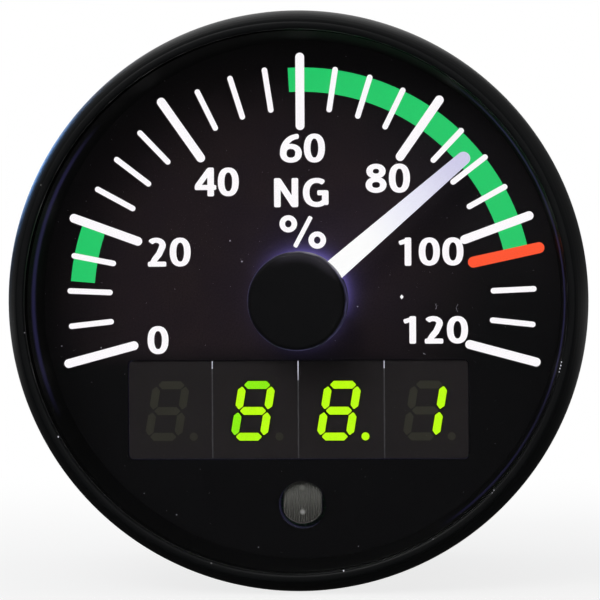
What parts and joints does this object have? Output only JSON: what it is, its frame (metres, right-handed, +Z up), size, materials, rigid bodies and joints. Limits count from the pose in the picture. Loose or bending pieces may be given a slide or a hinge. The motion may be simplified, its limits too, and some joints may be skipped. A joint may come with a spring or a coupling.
{
  "type": "gas generator speed gauge",
  "caption": "Round panel gauge with an edge-lit scale, a geared stepping pointer and a four digit readout behind a clear window, in a short tube case with a rear plug.",
  "frame": {"origin": "on the dial's axis, in the plane of the panel's front face, where the bezel and flange seat", "axes": "+Z up on the dial, +X to the pilot's right, and the dial faces -Y, so +Y runs back through the panel"},
  "size_m": [0.0636, 0.071, 0.0636],
  "materials": {
    "black_case": "satin black",
    "black_bezel": "satin black",
    "black_rubber": "matte",
    "window_glass": "clear, coated",
    "black_shroud": "satin black",
    "black_dial": "matte printed black",
    "white_marks": "backlit white",
    "green_marks": "backlit green",
    "red_marks": "backlit red",
    "clear_guide": "clear acrylic",
    "white_pointer": "backlit white",
    "black_cap": "satin black",
    "grey_digit_face": "matte dark grey",
    "lit_green": "lit yellow green",
    "dark_segments": "unlit, dark olive",
    "sensor_face": "ridged grey",
    "green_board": "solder resist",
    "white_lamps": "moulded",
    "black_moulding": "moulded",
    "white_moulding": "moulded",
    "white_gears": "moulded",
    "capacitor_can": "drawn can",
    "steel": "plated",
    "bright_spacers": "turned",
    "tinned_pins": "tinned",
    "tinned_shell": "tinned pressing",
    "gold_contacts": "plated",
    "stator_iron": "plain iron",
    "copper_winding": "enamelled copper wire",
    "rotor_magnet": "moulded magnet"
  },
  "bodies": {
    "gauge_body": {"case": "black_case", "rear_cover": "black_case", "rear_seal": "black_rubber", "cover_screws": "steel", "bezel": "black_bezel", "window": "window_glass", "window_seal": "black_rubber", "dial_shroud": "black_shroud", "dial_plate": "black_dial", "scale_marks": "white_marks", "green_arcs": "green_marks", "red_limit_mark": "red_marks", "light_guide": "clear_guide", "digit_pins": "tinned_pins", "light_sensor": "sensor_face", "light_sensor_leads": "tinned_pins", "display_board": "green_board", "backlight_lamps": "white_lamps", "board_screws": "steel", "processor_board": "green_board", "processor_chip": "black_moulding", "supply_board": "green_board", "filter_capacitors": "capacitor_can", "signal_header": "black_moulding", "power_header": "black_moulding", "tie_rods": "steel", "board_spacers": "bright_spacers", "tie_rod_nuts": "steel", "movement_housing": "white_moulding", "movement_cover": "white_moulding", "stator": "stator_iron", "left_coil": "copper_winding", "right_coil": "copper_winding", "coil_terminals": "tinned_pins", "intermediate_arbor": "steel", "rotor_arbor": "steel", "connector_shell": "tinned_shell", "connector_insulator": "black_moulding", "connector_contacts": "gold_contacts", "jack_screws": "steel", "mounting_studs": "steel", "digit_1_body": "grey_digit_face", "digit_2_body": "grey_digit_face", "digit_3_body": "grey_digit_face", "digit_4_body": "grey_digit_face", "digit_2_lit_segments": "lit_green", "digit_3_lit_segments": "lit_green", "digit_4_lit_segments": "lit_green", "digit_1_dark_segments": "dark_segments", "digit_2_dark_segments": "dark_segments", "digit_4_dark_segments": "dark_segments"},
    "pointer_group": {"pointer": "white_pointer", "pointer_cap": "black_cap", "pointer_shaft": "steel", "output_wheel": "white_gears"},
    "intermediate_gear": {"intermediate_wheel": "white_gears"},
    "rotor_gear": {"rotor": "rotor_magnet"}
  },
  "joints": [
    {"name": "pointer_sweep", "type": "hinge", "parent": "gauge_body", "child": "pointer_group", "pos_m": [0, 0, 0], "axis": [0, 1, 0], "range_deg": [-157.03, 57.98]},
    {"name": "intermediate_turn", "type": "hinge", "parent": "gauge_body", "child": "intermediate_gear", "pos_m": [0.0033, 0, 0.00572], "axis": [0, 1, 0], "range_deg": [-263.16, 708.88]},
    {"name": "rotor_turn", "type": "hinge", "parent": "gauge_body", "child": "rotor_gear", "pos_m": [0, 0, 0.01073], "axis": [0, 1, 0], "range_deg": [-2835.54, 1052.64]}
  ],
  "couplings": [
    {"joint": "intermediate_turn", "follows": "pointer_sweep", "ratio": -4.5},
    {"joint": "rotor_turn", "follows": "pointer_sweep", "ratio": 18}
  ]
}
